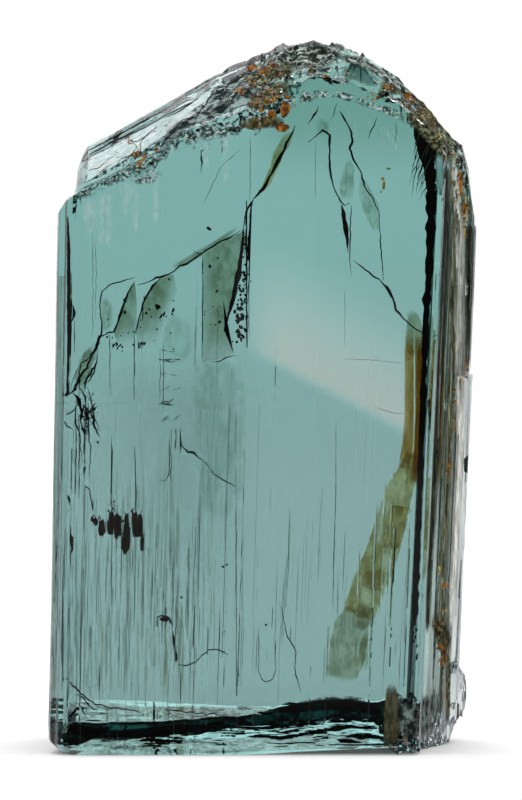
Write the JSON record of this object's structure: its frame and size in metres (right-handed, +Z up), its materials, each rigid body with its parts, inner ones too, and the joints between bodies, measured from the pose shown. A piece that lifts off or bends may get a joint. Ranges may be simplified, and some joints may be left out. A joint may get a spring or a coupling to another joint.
{
  "type": "zoisite crystal",
  "caption": "Loose blue-green zoisite crystal: a flat striated prism with a chisel-shaped broken top, standing upright on its broken base.",
  "frame": {"origin": "middle of the crystal's box in X and Y, at the height of the surface that its base rests on", "axes": "+Z up along the crystal, +X to the right of the wide front face, +Y from the wide front face to the back face"},
  "size_m": [0.0218, 0.0096, 0.0362],
  "materials": {
    "zoisite": "clear blue-green crystal with a vitreous lustre, fine vertical striations and brown-stained fractures"
  },
  "bodies": {
    "root": {"zoisite_crystal": "zoisite"}
  },
  "joints": []
}
